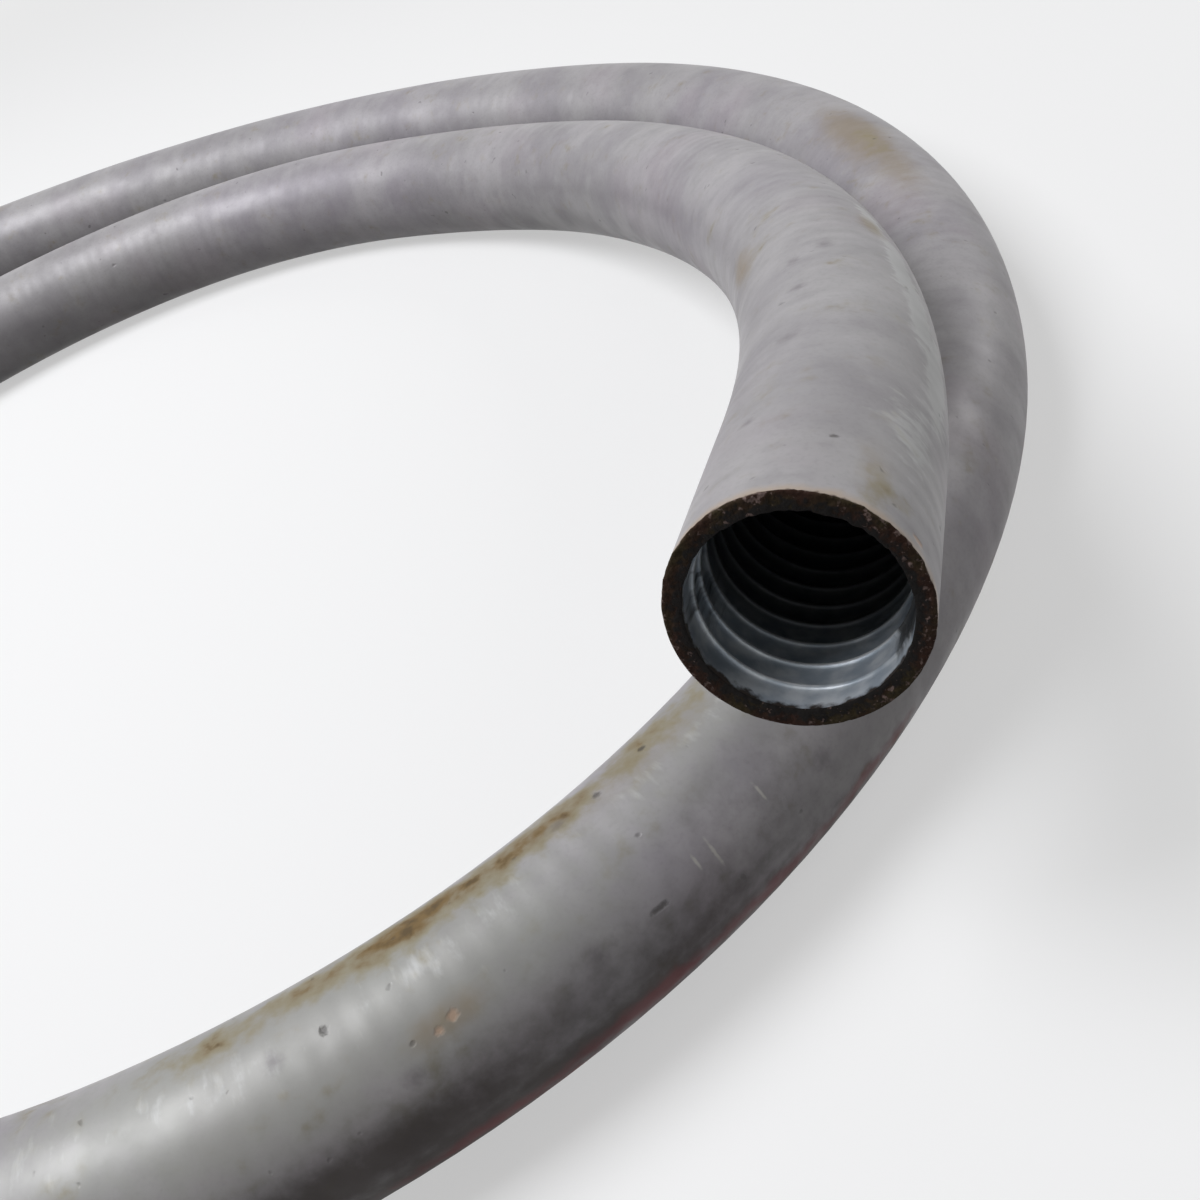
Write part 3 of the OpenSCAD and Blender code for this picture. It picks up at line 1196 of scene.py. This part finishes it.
@dataclass
class ZincBore(Finish):
    """Zinc that ran inside the pipe: bluish grey and brighter than the skin, out of the weather."""

    patterns: ClassVar[dict[str, Pattern]] = {
        "cloud": Pattern(3.5, 4, 0.0),
        "rubbing": Pattern(3, 3, 7.0, length=20),
        "rust_edge": Pattern(2.2, 4, 2.0),
        "runs": Pattern(1.6, 4, 3.0, length=14),
    }
    size: PipeSize
    bare: str = "#9EA8B2"
    # Pale clouds, rubbed crests with a painted highlight by their depth in the wall, rust by the
    # millimetres behind the cut, grime that ran in with painted shade on the far wall, and painted
    # shade that darkens the bore deeper in.
    coats: tuple[Coat, ...] = (
        Coat("cloud", "#CBD0D4", 0.35, 0.70),
        # A painted highlight along the rib crests, with their rubbing.
        Coat("crest_rub_and_highlight", "#EEF0F1", 1.18, 1.23, 0.8),
        Coat("rust", "#1F1610", 4.0, 2.9),
        # Grime that ran in, and painted shade where the bore stain marks the far wall.
        Coat("grime_and_shade", "#15110E", 0.3, 0.8, 0.9),
        # Painted shade: the bore darkens to near black from 9 to 22 mm behind the cut.
        Coat("behind_cut", "#15110E", 9.0, 22.0, 0.9),
    )
    # How unevenly the crests' rubbing and painted highlight lie, how far the runs break up the
    # grime and painted shade, and how much rougher the rust is.
    uneven_rubbing: float = 0.10
    run_share: float = 1.6
    rust_roughens: float = 0.4
    # How far the rust's edge wanders, and how tall the clouds and the rust stand, in millimetres.
    rust_wander: float = 5.0
    cloud_height: float = 0.10
    rust_height: float = 0.08

    def layers(self) -> tuple[Socket, Socket, Socket]:
        """Clouded zinc with rubbed crests and a painted highlight on them, rust and grime creeping
        in from the cut, and painted shade deeper in.

        Returns:
            The colour, the roughness and the height in millimetres.
        """
        seen = self.seen
        into_wall = self.node("Attribute", output="Fac", attribute_name=WALL_DEPTH)
        painted = self.node("Attribute", output="Fac", attribute_name=Stain.BORE.value)
        seen["behind_cut"] = self.behind_cut(self.size.length)
        seen["crest_rub_and_highlight"] = self.total((seen["rubbing"], self.uneven_rubbing), start=into_wall)
        rust_edge = (seen["rust_edge"], self.rust_wander)
        seen["rust"] = self.total(rust_edge, start=seen["behind_cut"])
        runs = (seen["runs"], self.run_share)
        seen["grime_and_shade"] = self.total(runs, (painted, 1.0), start=-self.run_share / 2)
        tint = self.coated(self.bare, self.coats)
        rust = self.covers["rust"]
        height = self.total((seen["cloud"], self.cloud_height), (rust, self.rust_height))
        return tint, self.total((rust, self.rust_roughens), start=self.roughness), height


@dataclass
class RustedSawCut(Finish):
    """Bare steel sawn across and left to rust: dark brown, crumbly, with pinkish-grey flecks."""

    specular: ClassVar[float] = 0.2
    patterns: ClassVar[dict[str, Pattern]] = {
        "crumbs": Pattern(0.9, 5, 0.0),
        "shades": Pattern(7, 2, 8.0),
        "drifts": Pattern(9, 2, 4.0),
        "specks": Pattern(0.8, 4, 3.0),
        "pits": Pattern(0.5, 3, 6.0),
    }
    brown: str = "#2E1C14"
    # Olive shades, near black by the depth in the wall, which is rust with painted shade towards
    # the bore, and pale flecks.
    coats: tuple[Coat, ...] = (
        Coat("shades", "#302817", 0.45, 0.60),
        Coat("into_wall", "#090605", 0.20, 0.75),
        Coat("flecks", "#8A7670", 0.79, 0.91, 0.65),
    )
    # How far the crumbs break up the shades by depth, how much the flecks come in drifts, how
    # many fewer there are towards the bore, and how much smoother they are.
    crumb_share: float = 2.2
    drift_share: float = 0.5
    fewer_inside: float = 0.10
    flecks_smooth: float = 0.25
    # How tall the pits and the crumbs stand in the relief, in millimetres.
    pit_height: float = 0.25
    crumb_height: float = 0.5

    def layers(self) -> tuple[Socket, Socket, Socket]:
        """Brown rust towards the skin, rust with painted shade near black towards the bore, with
        paler flecks.

        Returns:
            The colour, the roughness and the height in millimetres.
        """
        seen = self.seen
        into_wall = self.node("Attribute", output="Fac", attribute_name=WALL_DEPTH)
        crumbs = (seen["crumbs"], self.crumb_share)
        into_wall = self.total(crumbs, (into_wall, 1.0), start=-self.crumb_share / 2)
        drifts = (seen["drifts"], self.drift_share)
        flecks = self.total(drifts, (seen["specks"], 1.0), (into_wall, -self.fewer_inside))
        seen |= {"into_wall": into_wall, "flecks": flecks}
        tint = self.coated(self.brown, self.coats)
        pits = (seen["pits"], self.pit_height)
        height = self.total(pits, (seen["crumbs"], self.crumb_height))
        rough = self.total((self.covers["flecks"], -self.flecks_smooth), start=self.roughness)
        return tint, rough, height


# ---------------------------------------------------------------------------------------------
# The studio


@dataclass(frozen=True)
class SoftBox:
    """A square softbox: where it stands from the pipe's middle, its width and its power."""

    name: str
    offset: tuple[float, float, float]
    width: float
    watts: float
    tint: str = "#FFFFFF"


@dataclass
class Studio:
    """A pale floor, softboxes and the camera."""

    middle: Vector
    floor_width: float = 12.0
    floor_tint: str = "#F4F4F3"
    bounce_tint: str = "#3C3937"
    # How much of the floor's look is its own even white: under the pipe and out at the horizon.
    floor_glow: tuple[float, float] = (0.5, 1.0)
    glow_spread: tuple[float, float] = (0.45, 2.2)
    world_strength: float = 0.095
    # The camera stands close over the mouth, looks down along the pipe and is tipped sideways.
    camera_place: tuple[float, float, float] = (0.18667, -0.34125, 0.18280)
    camera_heading: float = -15.278
    camera_down: float = 36.209
    camera_roll: float = -24.011
    lens: float = 42.1
    lamps: tuple[SoftBox, ...] = (
        SoftBox("key_softbox", (-0.56, -0.12, 1.15), 0.85, 17.2, "#FAFBFF"),
        SoftBox("rim_softbox", (1.20, 0.55, 0.60), 0.6, 3.5),
    )

    def build(self) -> None:
        """Makes the floor, the world, the lamps and the camera."""
        self.floor()
        self.world()
        for lamp in self.lamps:
            self.lamp(lamp)
        self.camera()

    def floor(self) -> bpy.types.Object:
        """A wide plain floor, which shows as pale to the eye and keeps the pipe's shadow.

        Returns:
            The floor.
        """
        bm = bmesh.new()
        bmesh.ops.create_grid(bm, x_segments=1, y_segments=1, size=self.floor_width / 2)
        mesh = bpy.data.meshes.new("floor")
        bm.to_mesh(mesh)
        bm.free()
        material = bpy.data.materials.new("matt_pale_floor")
        material.use_nodes = True
        material.node_tree.nodes.clear()
        node = partial(add, material.node_tree)
        shown = self.is_seen(material.node_tree)
        tint = node("Mix", (shown, self.bounce_tint, self.floor_tint), **COLOURS)
        matt = node("BsdfPrincipled", {"Base Color": tint, "Roughness": 0.9})
        away = node("VectorMath", [node("TexCoord", output="Object")], operation="LENGTH")
        glow = node("MapRange", (away, *self.glow_spread, *self.floor_glow), **SMOOTH)
        share = node("Math", (shown, glow), operation="MULTIPLY")
        white = node("Emission", {"Color": "#FFFFFF", "Strength": 1.0})
        node("OutputMaterial", [node("MixShader", (share, matt, white))])
        mesh.materials.append(material)
        floor = bpy.data.objects.new("floor", mesh)
        bpy.context.collection.objects.link(floor)
        return floor

    @staticmethod
    def is_seen(tree: bpy.types.NodeTree) -> Socket:
        """Tells a surface that is looked at, straight or in a mirror, from one that lights others.

        Args:
            tree: The surface's node tree.

        Returns:
            1 where it is looked at and 0 where it isn't.
        """
        seen = 0.0
        for ray in ("Is Camera Ray", "Is Glossy Ray", "Is Transmission Ray"):
            path = add(tree, "LightPath", output=ray)
            seen = add(tree, "Math", (seen, path), operation="ADD", use_clamp=True)
        return seen

    def world(self) -> None:
        """A plain surround: white to the eye, and a weak even light on the pipe."""
        world = bpy.data.worlds.new("studio_surround")
        world.use_nodes = True
        tree = world.node_tree
        tree.nodes.clear()
        reach = {"Value": self.is_seen(tree), "To Min": self.world_strength, "To Max": 1.0}
        light = {"Color": "#FFFFFF", "Strength": add(tree, "MapRange", reach)}
        add(tree, "OutputWorld", [add(tree, "Background", light)])
        bpy.context.scene.world = world

    def lamp(self, box: SoftBox) -> None:
        """Hangs a softbox, aimed at the pipe's middle.

        Args:
            box: The softbox.
        """
        light = bpy.data.lights.new(box.name, "AREA")
        light.size = box.width
        light.energy = box.watts
        light.color = colour(box.tint)[:3]
        lamp = bpy.data.objects.new(box.name, light)
        lamp.location = self.middle + Vector(box.offset)
        lamp.rotation_euler = Vector(box.offset).to_track_quat("Z", "Y").to_euler()
        bpy.context.collection.objects.link(lamp)

    def camera(self) -> None:
        """Sets up the camera close to the mouth."""
        data = bpy.data.cameras.new("camera")
        data.lens = self.lens
        data.sensor_width = 36.0
        data.clip_start = 0.01
        camera = bpy.data.objects.new("camera", data)
        turns = (
            Matrix.Translation(self.camera_place)
            @ Matrix.Rotation(math.radians(-self.camera_heading), 4, "Z")
            @ Matrix.Rotation(math.radians(90 - self.camera_down), 4, "X")
            @ Matrix.Rotation(math.radians(self.camera_roll), 4, "Z")
        )
        camera.matrix_world = turns
        bpy.context.collection.objects.link(camera)
        bpy.context.scene.camera = camera


# ---------------------------------------------------------------------------------------------


def corners(bounds: tuple[Vector, Vector]) -> list[list[float]]:
    """A box's two corners as plain lists."""
    return [list(corner) for corner in bounds]


def main() -> None:
    """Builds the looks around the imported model."""
    logging.basicConfig(level=logging.INFO, format="%(name)s: %(message)s")
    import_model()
    low, high = (Vector(corner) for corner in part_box(NODE))
    size = PipeSize()
    wear = Wear()
    finishes = {
        Surface.SKIN: AgedZincSkin(
            "weathered_hot_dip_zinc", roughness=0.45, metallic=0.12, wear=wear, size=size
        ).make(),
        Surface.BORE: ZincBore("bluish_zinc_bore", roughness=0.38, metallic=0.3, size=size).make(),
        Surface.CUT: RustedSawCut("rusted_saw_cut", roughness=0.85, metallic=0.0).make(),
    }
    pipe = CoiledPipe(size, Route(size), wear, finishes).build(low, high)
    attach(pipe, "root")
    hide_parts(NODE)
    log.info("%s: %d faces", pipe.name, len(pipe.data.polygons))
    Studio((low + high) / 2).build()
    bpy.context.scene.view_settings.view_transform = "Standard"


if __name__ == "__main__":
    main()
